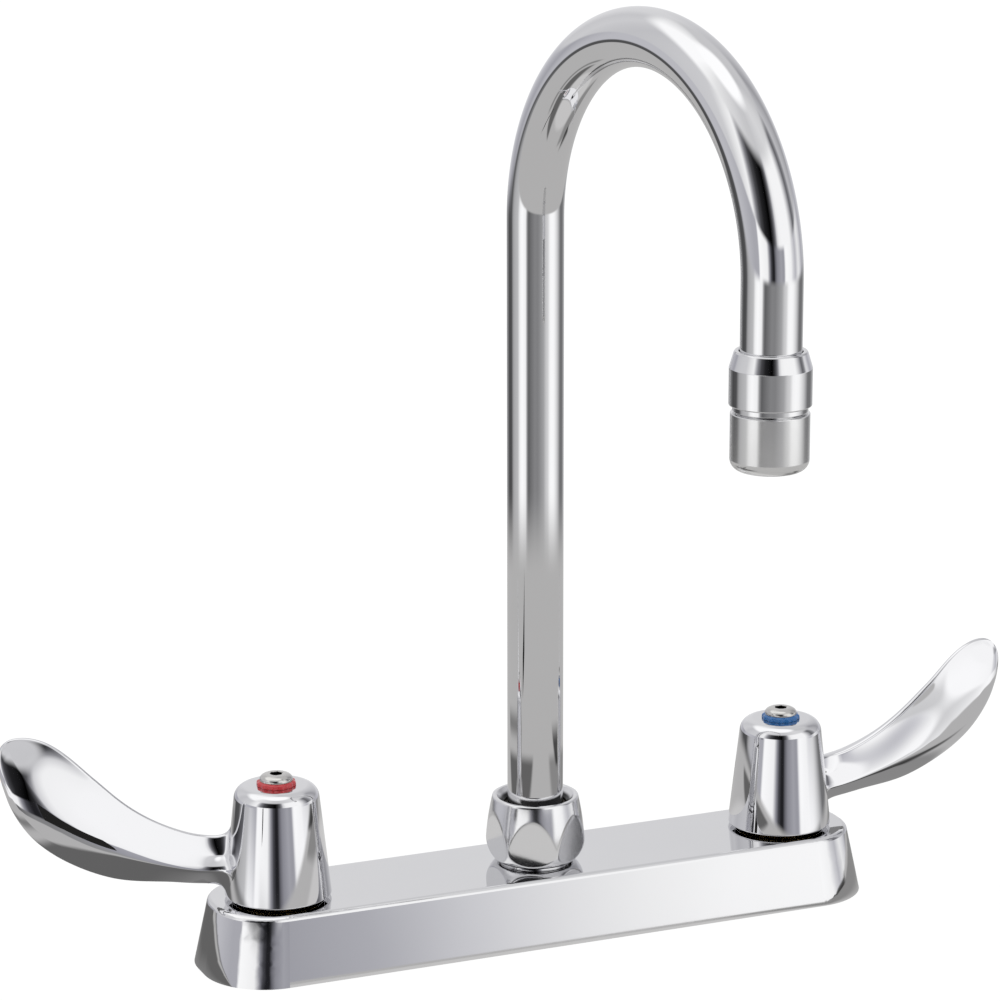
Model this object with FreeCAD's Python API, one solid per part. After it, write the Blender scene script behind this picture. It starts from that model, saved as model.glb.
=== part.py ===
import FreeCAD, Part
import math
import os

# Two-handle deck-mount sink faucet with a high swivelling gooseneck spout.
# Millimetres, +Z up, front towards -Y. The origin is the middle of the face
# that rests on the sink deck. The hot side is at -X and the cold side at +X.

# Body casting
hub_spacing = 203.2
body_end_reach = 29.9
body_width = 55.8
body_height = 25.0
body_corner_radius = 24.0
body_draft = 4.8
body_corner_draft = 2.9
body_top_edge_radius = 2.0
body_wall = 3.2
body_roof = 3.6
valve_boss_radius = 15.2
spout_boss_radius = 15.4
gallery_height = 18.0
gallery_radius = 6.2
gallery_bore_radius = 3.0
water_groove_radius = 12.4
water_groove_low = 16.2
water_groove_high = 21.4

# Deck gasket
gasket_thickness = 2.5
gasket_hole_clearance = 0.4

# Inlet shanks, half-inch straight pipe thread
shank_radius = 10.45
shank_bore_radius = 6.5
shank_length = 62.0
supply_thread_length = 22.0
shank_relief_width = 2.0
shank_relief_depth = 0.9
shank_socket_depth = 5.5
shank_seal_thickness = 1.0
deck_thickness = 12.0
deck_washer_radius = 19.0
deck_washer_thickness = 2.5
lock_nut_across_flats = 32.0
lock_nut_thickness = 8.0
lock_nut_edge_radius = 17.4

# Valve seats
seat_floor = 14.0
seat_offset = 3.5
seat_pocket_radius = 4.5
seat_pocket_depth = 4.5
seat_port_radius = 3.0
seat_cup_radius = 4.4
seat_cup_bore_radius = 2.2
seat_cup_height = 2.4
seat_cup_stand_out = 0.5
spring_radius = 3.7
spring_wire_radius = 0.3
spring_turns = 3

# Stem units
bonnet_radius = 11.0
bonnet_cavity_radius = 8.6
bonnet_seal_thickness = 1.2
bonnet_seal_bore_radius = 9.0
bonnet_flange_height = 8.0
bonnet_across_flats = 24.0
bonnet_neck_radius = 8.4
bonnet_neck_top = 42.0
bonnet_ledge = 20.6
bonnet_window_radius = 2.4
disc_radius = 8.4
disc_thickness = 2.5
spindle_flange_radius = 8.2
spindle_flange_thickness = 3.0
thrust_washer_thickness = 0.6
spindle_radius = 5.0
spindle_spline_radius = 4.2
spindle_spline_count = 12
spindle_spline_depth = 0.45
spindle_top = 58.0
spindle_tap_depth = 12.0
stem_oring_height = 37.0
oring_wire_radius = 0.8

# Handles: a hollow hood and a blade in one casting
hood_gap = 1.2
hood_height = 41.0
hood_base_radius = 19.5
hood_top_radius = 15.0
hood_edge_radius = 5.0
hood_wall = 2.8
hood_roof = 8.0
hood_socket_radius = 7.4
hood_socket_length = 13.0
index_recess_depth = 0.7
index_ring_radius = 6.8
index_ring_thickness = 1.6
handle_screw_radius = 2.0
handle_screw_length = 18.0
handle_screw_head_radius = 5.2
handle_screw_head_height = 3.4
handle_screw_key_width = 3.2
handle_screw_key_depth = 1.9
blade_reach = 96.6
blade_root_height = 14.9
blade_rise = 46.1
blade_root_width = 13.0
blade_width = 27.4
blade_wall = 11.3
blade_root_thickness = 7.4
blade_dish = 1.3
blade_bow = 4.9
blade_round_start = 0.688
hot_blade_sweep = 17.0
cold_blade_sweep = 6.7
cold_blade_lean_more = 14.0
cold_blade_width_share = 0.958
cold_blade_rise_share = 0.939

# Spout
spout_turn = 9.0
spout_reach = 144.4
arch_height = 266.9
spout_tube_radius = 10.3
spout_tube_wall = 1.1
tube_end_height = 35.0
neck_radius = 13.4
neck_height = 12.5
neck_bore_radius = 11.6
mixing_chamber_radius = 9.5
mixing_chamber_floor = 6.5
mixing_chamber_top = 22.0
sleeve_bore_radius = 8.3
sleeve_flange_radius = 13.2
sleeve_flange_thickness = 2.5
sleeve_top = 46.5
swivel_oring_heights = (26.5, 31.5)
bearing_ring_thickness = 0.8
hold_down_ring_thickness = 0.5

# Spout nut
nut_gap = 0.8
nut_height = 24.4
nut_bottom_radius = 15.0
nut_widest_radius = 18.4
nut_widest_height = 7.4
nut_top_radius = 15.9
nut_flat_low = 15.6
nut_flat_high = 17.5
nut_turn = 2.7
nut_recess_radius = 14.2
nut_recess_depth = 2.9

# Outlet collar and aerator
collar_top_height = 244.4
collar_lip_radius = 11.9
collar_radius = 13.8
collar_shoulder_drop = 5.7
collar_length = 18.4
collar_bore_radius = 8.6
tube_socket_depth = 10.0
aerator_thread_radius = 11.4
aerator_thread_length = 8.0
aerator_gap = 2.3
aerator_length = 18.6
aerator_radius = 13.25
aerator_edge_radius = 4.0
aerator_mouth_radius = 8.6
aerator_mouth_depth = 2.0
aerator_washer_thickness = 1.5
straightener_thickness = 3.0
straightener_turn = 15.0
screen_thickness = 2.4
screen_hole_radius = 0.8
screen_ring_count = 2

# Clearances
thread_clearance = 0.05
turn_clearance = 0.05
oring_squeeze_gap = 0.03
seal_clearance = 0.1
seat_clearance = 0.1

valve_x = hub_spacing / 2
body_length = hub_spacing + 2 * body_end_reach
shank_top = gasket_thickness + shank_socket_depth - shank_seal_thickness
hood_bottom = body_height + hood_gap
hood_top = hood_bottom + hood_height
hood_slope = (hood_base_radius - hood_top_radius) / hood_height
neck_top = body_height + neck_height
sleeve_radius = neck_bore_radius - turn_clearance
flange_bottom = neck_top + bearing_ring_thickness
flange_top = flange_bottom + sleeve_flange_thickness
nut_bottom = body_height + nut_gap
nut_top = nut_bottom + nut_height
collar_bottom = collar_top_height - collar_length
aerator_top = collar_bottom - aerator_gap
aerator_bottom = aerator_top - aerator_length
SIDES = {"hot": -1, "cold": 1}
BLADE_SETTING = {
    "hot": (hot_blade_sweep, 0.0, 1.0, 1.0),
    "cold": (cold_blade_sweep, cold_blade_lean_more, cold_blade_width_share, cold_blade_rise_share),
}
parts = {}


def cylinder(radius, low, high, x=0.0, y=0.0):
    return Part.makeCylinder(radius, high - low, FreeCAD.Vector(x, y, low))


def ring(outer, inner, low, high, x=0.0, y=0.0):
    return cylinder(outer, low, high, x, y).cut(cylinder(inner, low - 1, high + 1, x, y))


def turned(profile, x=0.0, y=0.0):
    """Solid of revolution about a vertical axis from (radius, height) corners."""
    points = [FreeCAD.Vector(r, 0, z) for r, z in profile]
    face = Part.Face(Part.makePolygon(points + points[:1]))
    solid = face.revolve(FreeCAD.Vector(0, 0, 0), FreeCAD.Vector(0, 0, 1), 360)
    solid.translate(FreeCAD.Vector(x, y, 0))
    return solid


def torus(radius, wire, height, x=0.0, y=0.0):
    return Part.makeTorus(radius, wire, FreeCAD.Vector(x, y, height))


def hexagon(across_flats, height, turn=0.0, x=0.0, y=0.0):
    corner = across_flats / math.sqrt(3)
    angles = [math.radians(turn + 30 + 60 * k) for k in range(7)]
    return Part.makePolygon([
        FreeCAD.Vector(x + corner * math.cos(a), y + corner * math.sin(a), height) for a in angles
    ])


def hex_prism(across_flats, low, high, x=0.0, y=0.0):
    return Part.Face(hexagon(across_flats, low, 0.0, x, y)).extrude(FreeCAD.Vector(0, 0, high - low))


def rounded_rectangle(length, width, radius, height):
    """Closed outline of four straight sides and four quarter arcs."""
    across = length / 2 - radius
    along = width / 2 - radius
    bend = radius * math.sqrt(0.5)
    edges = []
    for quarter, (cx, cy) in enumerate(((across, along), (-across, along), (-across, -along), (across, -along))):
        turn = math.radians(90 * quarter)
        out_x, out_y = math.cos(turn), math.sin(turn)
        start = FreeCAD.Vector(cx + radius * out_x, cy + radius * out_y, height)
        middle = FreeCAD.Vector(cx + bend * (out_x - out_y), cy + bend * (out_x + out_y), height)
        end = FreeCAD.Vector(cx - radius * out_y, cy + radius * out_x, height)
        edges.append((start, middle, end))
    wire = []
    for k, (start, middle, end) in enumerate(edges):
        wire.append(Part.Arc(start, middle, end).toShape())
        wire.append(Part.LineSegment(end, edges[(k + 1) % 4][0]).toShape())
    return Part.Wire(wire)


def drafted_block(inset, low, high):
    """The body's outer form, drawn in by inset on every side, between two heights."""
    outlines = []
    for height in (low, high):
        lean = height / body_height
        shrink = 2 * (inset + body_draft * lean)
        radius = body_corner_radius - inset - body_corner_draft * lean
        outlines.append(rounded_rectangle(body_length - shrink, body_width - shrink, radius, height))
    return Part.makeLoft(outlines, True, True)


def body_casting():
    outer = drafted_block(0.0, 0.0, body_height)
    top_edges = [edge for edge in outer.Edges if edge.BoundBox.ZMin > body_height - 0.01]
    outer = outer.makeFillet(body_top_edge_radius, top_edges)
    body = outer.cut(drafted_block(body_wall, 0.0, body_height - body_roof))
    bosses = [cylinder(spout_boss_radius, gasket_thickness, body_height - body_roof / 2)]
    bosses.append(cylinder(neck_radius, body_height - body_roof / 2, neck_top))
    for side in SIDES.values():
        bosses.append(cylinder(valve_boss_radius, gasket_thickness, body_height - body_roof / 2, side * valve_x))
    gallery = Part.makeCylinder(
        gallery_radius, hub_spacing, FreeCAD.Vector(-valve_x, 0, gallery_height), FreeCAD.Vector(1, 0, 0)
    )
    body = body.fuse(bosses + [gallery])
    waterway = Part.makeCylinder(
        gallery_bore_radius, hub_spacing, FreeCAD.Vector(-valve_x, 0, gallery_height), FreeCAD.Vector(1, 0, 0)
    )
    cuts = [waterway]
    cuts.append(cylinder(mixing_chamber_radius, mixing_chamber_floor, mixing_chamber_top + 1))
    cuts.append(cylinder(neck_bore_radius, mixing_chamber_top, neck_top + 1))
    for side in SIDES.values():
        x = side * valve_x
        seat_x = x + side * seat_offset
        socket_top = gasket_thickness + shank_socket_depth
        cuts.append(cylinder(shank_radius + thread_clearance, gasket_thickness - 1, socket_top, x))
        cuts.append(cylinder(seat_port_radius, socket_top - 1, seat_floor, seat_x))
        cuts.append(cylinder(seat_pocket_radius, seat_floor - seat_pocket_depth, seat_floor + 1, seat_x))
        cuts.append(cylinder(bonnet_radius, seat_floor, body_height + 1, x))
        cuts.append(cylinder(water_groove_radius, water_groove_low, water_groove_high, x))
    for cut in cuts:
        body = body.cut(cut)
    return body.removeSplitter()


def deck_gasket():
    gasket = drafted_block(body_wall + seal_clearance + body_draft * gasket_thickness / body_height,
                           0.0, gasket_thickness)
    for side in SIDES.values():
        hole = cylinder(shank_radius + gasket_hole_clearance, -1, gasket_thickness + 1, side * valve_x)
        gasket = gasket.cut(hole)
    return gasket


def inlet_shank(x):
    """Threaded tube with a relief between the deck thread and the supply thread."""
    low = shank_top - shank_length
    relief_low = low + supply_thread_length
    relief = ring(shank_radius + 1, shank_radius - shank_relief_depth, relief_low, relief_low + shank_relief_width, x)
    return ring(shank_radius, shank_bore_radius, low, shank_top, x).cut(relief)


def shank_seal(x):
    return ring(shank_radius - seal_clearance, shank_bore_radius, shank_top, shank_top + shank_seal_thickness, x)


def deck_washer(x):
    top = -deck_thickness
    return ring(deck_washer_radius, shank_radius + thread_clearance, top - deck_washer_thickness, top, x)


def lock_nut(x):
    top = -deck_thickness - deck_washer_thickness
    low = top - lock_nut_thickness
    chamfer = lock_nut_edge_radius - lock_nut_across_flats / 2 + 0.6
    rounding = turned([
        (0, low), (lock_nut_edge_radius - chamfer / 2, low), (lock_nut_edge_radius + chamfer, low + chamfer),
        (lock_nut_edge_radius + chamfer, top), (0, top),
    ], x)
    nut = hex_prism(lock_nut_across_flats, low, top, x).common(rounding)
    return nut.cut(cylinder(shank_radius + thread_clearance, low - 1, top + 1, x))


def seat_spring(x):
    """Open coil under the seat cup, on the step of its pocket."""
    low = seat_floor - seat_pocket_depth + spring_wire_radius
    high = seat_floor + seat_cup_stand_out - seat_cup_height - spring_wire_radius
    helix = Part.makeHelix((high - low) / spring_turns, high - low, spring_radius)
    start = FreeCAD.Vector(spring_radius, 0, 0)
    circle = Part.Wire([Part.Circle(start, FreeCAD.Vector(0, 1, 0), spring_wire_radius).toShape()])
    coil = Part.Wire(helix).makePipeShell([circle], True, True)
    coil.translate(FreeCAD.Vector(x, 0, low))
    return coil


def seat_cup(x):
    top = seat_floor + seat_cup_stand_out
    return ring(seat_cup_radius, seat_cup_bore_radius, top - seat_cup_height, top, x)


def valve_disc(x, side):
    low = seat_floor + seat_cup_stand_out
    disc = cylinder(disc_radius, low, low + disc_thickness, x)
    port = cylinder(seat_cup_bore_radius, low - 1, low + disc_thickness + 1, x, seat_offset)
    return disc.cut(port)


def spindle(x):
    flange_low = seat_floor + seat_cup_stand_out + disc_thickness
    flange_high = flange_low + spindle_flange_thickness
    groove_radius = spindle_radius + turn_clearance - oring_squeeze_gap - 2 * oring_wire_radius
    groove_half = oring_wire_radius + seal_clearance
    solid = turned([
        (0, flange_low), (spindle_flange_radius, flange_low), (spindle_flange_radius, flange_high),
        (spindle_radius, flange_high), (spindle_radius, stem_oring_height - groove_half),
        (groove_radius, stem_oring_height - groove_half), (groove_radius, stem_oring_height + groove_half),
        (spindle_radius, stem_oring_height + groove_half), (spindle_radius, bonnet_neck_top + 0.5),
        (spindle_spline_radius, bonnet_neck_top + 0.5), (spindle_spline_radius, spindle_top), (0, spindle_top),
    ], x)
    for k in range(spindle_spline_count):
        angle = 2 * math.pi * k / spindle_spline_count
        groove = cylinder(
            spindle_spline_depth, bonnet_neck_top + 1, spindle_top + 1,
            x + spindle_spline_radius * math.cos(angle), spindle_spline_radius * math.sin(angle),
        )
        solid = solid.cut(groove)
    tap = cylinder(handle_screw_radius + thread_clearance, spindle_top - spindle_tap_depth, spindle_top + 1, x)
    return solid.cut(tap)


def thrust_washer(x):
    high = bonnet_ledge - turn_clearance
    low = high - thrust_washer_thickness + turn_clearance
    return ring(bonnet_cavity_radius - seal_clearance, spindle_radius + turn_clearance, low, high, x)


def spindle_oring(x):
    reach = spindle_radius + turn_clearance - oring_squeeze_gap
    return torus(reach - oring_wire_radius, oring_wire_radius, stem_oring_height, x)


def bonnet(x):
    low = seat_floor + bonnet_seal_thickness
    flange_top = body_height + bonnet_flange_height
    solid = cylinder(bonnet_radius - thread_clearance, low, body_height, x)
    solid = solid.fuse([
        hex_prism(bonnet_across_flats, body_height, flange_top, x),
        cylinder(bonnet_neck_radius, flange_top, bonnet_neck_top, x),
    ])
    solid = solid.cut(cylinder(bonnet_cavity_radius, low - 1, bonnet_ledge, x))
    solid = solid.cut(cylinder(spindle_radius + turn_clearance, low, bonnet_neck_top + 1, x))
    window = Part.makeCylinder(
        bonnet_window_radius, 4 * bonnet_radius,
        FreeCAD.Vector(x, -2 * bonnet_radius, gallery_height), FreeCAD.Vector(0, 1, 0),
    )
    return solid.cut(window)


def bonnet_seal(x):
    outer = bonnet_radius - seal_clearance
    return ring(outer, bonnet_seal_bore_radius, seat_floor, seat_floor + bonnet_seal_thickness, x)


def ease(fraction, table):
    """Smooth value at a fraction of the blade's reach, from (fraction, value) stations."""
    places = [place for place, _ in table]
    values = [value for _, value in table]
    last = len(table) - 1
    rates = []
    for k in range(len(table)):
        before, after = max(k - 1, 0), min(k + 1, last)
        rates.append((values[after] - values[before]) / (places[after] - places[before]))
    k = max(i for i in range(last) if fraction >= places[i] or i == 0)
    span = places[k + 1] - places[k]
    t = (fraction - places[k]) / span
    return (
        values[k] * (2 * t ** 3 - 3 * t ** 2 + 1) + values[k + 1] * (3 * t ** 2 - 2 * t ** 3)
        + span * (rates[k] * (t ** 3 - 2 * t ** 2 + t) + rates[k + 1] * (t ** 3 - t ** 2))
    )


# Stations along the blade, as shares of its reach: share of the rise, of the
# step from root width to full width, of the lower wall and of the thickness,
# then lean in degrees and share of the forward bow.
RISE = ((0.157, 0.0), (0.35, 0.067), (0.55, 0.233), (0.75, 0.493), (0.90, 0.811), (1.0, 1.0))
WIDEN = ((0.157, 0.0), (0.35, 0.0), (0.55, 0.251), (0.75, 0.75), (0.90, 1.0), (1.0, 1.0))
WALL = ((0.157, 0.47), (0.35, 0.62), (0.55, 1.0), (0.75, 0.82), (0.90, 0.49), (1.0, 0.22))
THICK = ((0.157, 1.0), (0.35, 0.80), (0.55, 0.52), (0.75, 0.38), (0.90, 0.32), (1.0, 0.28))
LEAN = ((0.157, 54.0), (0.35, 62.0), (0.55, 65.0), (0.75, 70.0), (0.90, 67.0), (1.0, 61.0))
BOW = ((0.157, 0.0), (0.35, 0.65), (0.60, 0.82), (0.85, 1.0), (1.0, 0.95))
FLARE = ((0.157, 1.45), (0.19, 1.22), (0.215, 1.06), (0.25, 1.0), (1.0, 1.0))
BLADE_SECTIONS = (0.157, 0.19, 0.215, 0.25, 0.33, 0.43, 0.53, 0.63, 0.72, 0.80, 0.87, 0.925, 0.962, 0.985, 0.997)


def blade_section(fraction, lean_more, width_share, rise_share):
    """Closed outline across the blade: dished face, lower wall, back and top edge."""
    step = 0.004
    rise = blade_rise * rise_share
    reach = fraction * blade_reach
    height = hood_bottom + blade_root_height + rise * ease(fraction, RISE)
    climb = rise * (ease(fraction + step, RISE) - ease(fraction - step, RISE))
    slope = math.atan2(climb, 2 * step * blade_reach)
    flare = ease(fraction, FLARE)
    half = width_share * (blade_root_width + (blade_width - blade_root_width) * ease(fraction, WIDEN)) / 2
    rounding = max(0.0, (fraction - blade_round_start) / (1 - blade_round_start))
    half = half * math.sqrt(1 - rounding ** 2) * flare
    wall = blade_wall * ease(fraction, WALL) * flare
    thick = blade_root_thickness * ease(fraction, THICK) * flare
    lean = math.radians(ease(fraction, LEAN) + lean_more)
    centre = FreeCAD.Vector(reach, -blade_bow * ease(fraction, BOW), height)
    up = FreeCAD.Vector(-math.sin(slope), 0, math.cos(slope))
    front = FreeCAD.Vector(0, -1, 0)
    across = front * math.cos(lean) - up * math.sin(lean)
    face_out = up * math.cos(lean) + front * math.sin(lean)
    front_rim = centre + across * half
    back_rim = centre - across * half
    front_low = front_rim - up * (0.85 * wall) - face_out * (0.35 * wall + 0.3 * thick)
    back_low = back_rim - face_out * thick
    dish = min(blade_dish, 0.12 * half)
    corners = (back_rim, front_rim, front_low, back_low)
    swells = (
        -face_out * dish,
        (face_out - up * 0.4) * (0.12 * wall),
        -face_out * (0.20 * wall + 0.15 * thick),
        -across * (0.12 * thick),
    )
    edges = []
    for k, swell in enumerate(swells):
        start, end = corners[k], corners[(k + 1) % 4]
        edges.append(Part.Arc(start, (start + end) / 2 + swell, end).toShape())
    return Part.Wire(edges)


def handle(x, side, sweep, lean_more, width_share, rise_share):
    slope_angle = math.atan(hood_slope)
    edge = hood_edge_radius
    tangent = edge * math.tan((math.pi / 2 - slope_angle) / 2)
    hood = turned([(0, hood_bottom), (hood_base_radius, hood_bottom), (hood_top_radius, hood_top), (0, hood_top)])
    rim = [e for e in hood.Edges if e.BoundBox.ZMin > hood_top - 0.01 and e.BoundBox.XMax > tangent]
    hood = hood.makeFillet(edge, rim)
    outlines = [blade_section(fraction, lean_more, width_share, rise_share) for fraction in BLADE_SECTIONS]
    blade = Part.makeLoft(outlines, True, False)
    blade = blade.cut(cylinder(blade_reach, 0, hood_bottom))
    solid = hood.fuse(blade)
    cavity_top = hood_top - hood_roof
    inner_base = hood_base_radius - hood_wall
    inner_top = inner_base - hood_slope * (cavity_top - hood_bottom)
    cavity = turned([
        (0, hood_bottom - 1), (inner_base + hood_slope, hood_bottom - 1), (inner_top, cavity_top), (0, cavity_top),
    ])
    solid = solid.cut(cavity)
    solid = solid.fuse(cylinder(hood_socket_radius, cavity_top - hood_socket_length, cavity_top))
    ring_seat = hood_top - index_recess_depth
    solid = solid.cut(cylinder(spindle_spline_radius + thread_clearance, 0, spindle_top + seat_clearance))
    solid = solid.cut(cylinder(handle_screw_radius + thread_clearance, 0, hood_top + 1))
    solid = solid.cut(cylinder(index_ring_radius + seat_clearance, ring_seat, hood_top + 1))
    if side < 0:
        solid = solid.mirror(FreeCAD.Vector(0, 0, 0), FreeCAD.Vector(1, 0, 0))
    solid.rotate(FreeCAD.Vector(0, 0, 0), FreeCAD.Vector(0, 0, 1), side * sweep)
    solid.translate(FreeCAD.Vector(x, 0, 0))
    return solid


def index_ring(x):
    low = hood_top - index_recess_depth
    return ring(index_ring_radius, handle_screw_radius + seat_clearance, low, low + index_ring_thickness, x)


def handle_screw(x):
    seat = hood_top - index_recess_depth + index_ring_thickness
    head = cylinder(handle_screw_head_radius, seat, seat + handle_screw_head_height, x)
    crown = [e for e in head.Edges if e.BoundBox.ZMin > seat + handle_screw_head_height - 0.01]
    head = head.makeFillet(handle_screw_head_height * 0.7, crown)
    top = seat + handle_screw_head_height
    key = hex_prism(handle_screw_key_width, top - handle_screw_key_depth, top + 1, x)
    return head.fuse(cylinder(handle_screw_radius, seat - handle_screw_length, seat, x)).cut(key)


def spout_direction():
    turn = math.radians(spout_turn)
    return FreeCAD.Vector(math.sin(turn), -math.cos(turn), 0)


def spout_axis():
    """Where the outlet's vertical axis stands in plan."""
    return spout_direction() * spout_reach


def spout_tube():
    toward = spout_direction()
    tube_low = collar_top_height - tube_socket_depth
    foot = FreeCAD.Vector(0, 0, tube_end_height)
    spring = FreeCAD.Vector(0, 0, arch_height)
    crown = toward * (spout_reach / 2) + FreeCAD.Vector(0, 0, arch_height + spout_reach / 2)
    far_spring = spout_axis() + FreeCAD.Vector(0, 0, arch_height)
    tip = spout_axis() + FreeCAD.Vector(0, 0, tube_low)
    path = Part.Wire([
        Part.LineSegment(foot, spring).toShape(),
        Part.Arc(spring, crown, far_spring).toShape(),
        Part.LineSegment(far_spring, tip).toShape(),
    ])
    skins = []
    for radius in (spout_tube_radius, spout_tube_radius - spout_tube_wall):
        circle = Part.Wire([Part.Circle(foot, FreeCAD.Vector(0, 0, 1), radius).toShape()])
        skins.append(path.makePipeShell([circle], True, False))
    return skins[0].cut(skins[1])


def spout_sleeve():
    groove_floor = neck_bore_radius - oring_squeeze_gap - 2 * oring_wire_radius
    groove_half = oring_wire_radius + seal_clearance
    low = mixing_chamber_top + seat_clearance
    sleeve = cylinder(sleeve_radius, low, sleeve_top)
    sleeve = sleeve.fuse(cylinder(sleeve_flange_radius, flange_bottom, flange_top))
    sleeve = sleeve.cut(cylinder(sleeve_bore_radius, low - 1, sleeve_top + 1))
    sleeve = sleeve.cut(cylinder(spout_tube_radius, tube_end_height, sleeve_top + 1))
    for height in swivel_oring_heights:
        sleeve = sleeve.cut(ring(sleeve_radius + 1, groove_floor, height - groove_half, height + groove_half))
    return sleeve


def swivel_oring(height):
    reach = neck_bore_radius - oring_squeeze_gap
    return torus(reach - oring_wire_radius, oring_wire_radius, height)


def bearing_ring():
    return ring(neck_radius - seal_clearance, neck_bore_radius, neck_top, flange_bottom - turn_clearance)


def hold_down_ring():
    inner = sleeve_radius + turn_clearance
    low = flange_top + turn_clearance
    return ring(neck_radius - seal_clearance, inner, low, flange_top + hold_down_ring_thickness)


def spout_nut():
    widest = nut_bottom + nut_widest_height
    ledge = flange_top + hold_down_ring_thickness
    bore = neck_radius + thread_clearance
    throat = sleeve_radius + seal_clearance
    corners = [
        FreeCAD.Vector(bore, 0, nut_bottom),
        FreeCAD.Vector(nut_bottom_radius, 0, nut_bottom),
        FreeCAD.Vector(nut_widest_radius, 0, widest),
        FreeCAD.Vector(nut_top_radius, 0, nut_top),
        FreeCAD.Vector(nut_recess_radius, 0, nut_top),
        FreeCAD.Vector(throat, 0, nut_top - nut_recess_depth),
        FreeCAD.Vector(throat, 0, ledge),
        FreeCAD.Vector(bore, 0, ledge),
    ]
    belly = FreeCAD.Vector(nut_widest_radius - 0.9, 0, nut_bottom + 0.45 * nut_widest_height)
    shoulder = FreeCAD.Vector((nut_widest_radius + nut_top_radius) / 2 + 0.35, 0, (widest + nut_top) / 2)
    edges = [
        Part.LineSegment(corners[0], corners[1]).toShape(),
        Part.Arc(corners[1], belly, corners[2]).toShape(),
        Part.Arc(corners[2], shoulder, corners[3]).toShape(),
    ]
    for k in range(3, 8):
        edges.append(Part.LineSegment(corners[k], corners[(k + 1) % 8]).toShape())
    round_nut = Part.Face(Part.Wire(edges)).revolve(FreeCAD.Vector(0, 0, 0), FreeCAD.Vector(0, 0, 1), 360)
    flats = Part.makeLoft([
        hexagon(2 * nut_flat_low, nut_bottom - 0.5, nut_turn),
        hexagon(2 * nut_flat_high, nut_top + 0.5, nut_turn),
    ], True, True)
    return round_nut.common(flats)


def outlet_collar():
    axis = spout_axis()
    shoulder = collar_top_height - collar_shoulder_drop
    thread_low = collar_bottom - aerator_thread_length
    collar = turned([
        (collar_bore_radius, thread_low), (aerator_thread_radius, thread_low),
        (aerator_thread_radius, collar_bottom), (collar_radius, collar_bottom), (collar_radius, shoulder),
        (collar_lip_radius, collar_top_height), (collar_bore_radius, collar_top_height),
    ], axis.x, axis.y)
    socket_low = collar_top_height - tube_socket_depth
    return collar.cut(cylinder(spout_tube_radius, socket_low, collar_top_height + 1, axis.x, axis.y))


def aerator_housing():
    axis = spout_axis()
    shell = cylinder(aerator_radius, aerator_bottom, aerator_top, axis.x, axis.y)
    foot = [e for e in shell.Edges if e.BoundBox.ZMax < aerator_bottom + 0.01]
    shell = shell.makeFillet(aerator_edge_radius, foot)
    thread_bore = aerator_thread_radius + thread_clearance
    floor = aerator_bottom + aerator_mouth_depth
    shell = shell.cut(cylinder(thread_bore, floor + screen_thickness, aerator_top + 1, axis.x, axis.y))
    return shell.cut(cylinder(aerator_mouth_radius, aerator_bottom - 1, aerator_top, axis.x, axis.y))


def drilled_plate(low, high, turn):
    """Round insert with rings of water holes."""
    axis = spout_axis()
    radius = aerator_thread_radius - seal_clearance
    plate = cylinder(radius, low, high, axis.x, axis.y)
    holes = [cylinder(screen_hole_radius, low - 1, high + 1, axis.x, axis.y)]
    for row in range(1, screen_ring_count + 1):
        for k in range(6 * row):
            angle = math.radians(turn) + 2 * math.pi * k / (6 * row)
            out = 3.1 * row
            holes.append(cylinder(
                screen_hole_radius, low - 1, high + 1,
                axis.x + out * math.cos(angle), axis.y + out * math.sin(angle),
            ))
    return plate.cut(holes)


def aerator_screen():
    low = aerator_bottom + aerator_mouth_depth + screen_thickness
    return drilled_plate(low, low + screen_thickness, 0.0)


def flow_straightener():
    low = aerator_bottom + aerator_mouth_depth + 2 * screen_thickness
    return drilled_plate(low, low + straightener_thickness, straightener_turn)


def aerator_washer():
    axis = spout_axis()
    high = collar_bottom - aerator_thread_length
    radius = aerator_thread_radius - seal_clearance
    return ring(radius, collar_bore_radius, high - aerator_washer_thickness, high, axis.x, axis.y)


parts["body_casting"] = body_casting()
parts["deck_gasket"] = deck_gasket()
for name, side in SIDES.items():
    x = side * valve_x
    seat_x = x + side * seat_offset
    parts[name + "_shank"] = inlet_shank(x)
    parts[name + "_shank_seal"] = shank_seal(x)
    parts[name + "_deck_washer"] = deck_washer(x)
    parts[name + "_lock_nut"] = lock_nut(x)
    parts[name + "_seat_spring"] = seat_spring(seat_x)
    parts[name + "_seat_cup"] = seat_cup(seat_x)
    parts[name + "_valve_disc"] = valve_disc(x, side)
    parts[name + "_spindle"] = spindle(x)
    parts[name + "_thrust_washer"] = thrust_washer(x)
    parts[name + "_spindle_oring"] = spindle_oring(x)
    parts[name + "_bonnet"] = bonnet(x)
    parts[name + "_bonnet_seal"] = bonnet_seal(x)
    parts[name + "_handle"] = handle(x, side, *BLADE_SETTING[name])
    parts[name + "_index_ring"] = index_ring(x)
    parts[name + "_handle_screw"] = handle_screw(x)
parts["spout_tube"] = spout_tube()
parts["spout_sleeve"] = spout_sleeve()
parts["swivel_oring_lower"] = swivel_oring(swivel_oring_heights[0])
parts["swivel_oring_upper"] = swivel_oring(swivel_oring_heights[1])
parts["bearing_ring"] = bearing_ring()
parts["hold_down_ring"] = hold_down_ring()
parts["spout_nut"] = spout_nut()
parts["outlet_collar"] = outlet_collar()
parts["aerator_washer"] = aerator_washer()
parts["flow_straightener"] = flow_straightener()
parts["aerator_screen"] = aerator_screen()
parts["aerator_housing"] = aerator_housing()

os.makedirs("parts", exist_ok=True)
for name, shape in parts.items():
    shape.exportStep("parts/" + name + ".step")
    print(name, "solids", len(shape.Solids), "valid", shape.isValid(), "volume", round(shape.Volume, 1))
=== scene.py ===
import math

import bmesh
import bpy
from mathutils import Matrix, Vector


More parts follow.
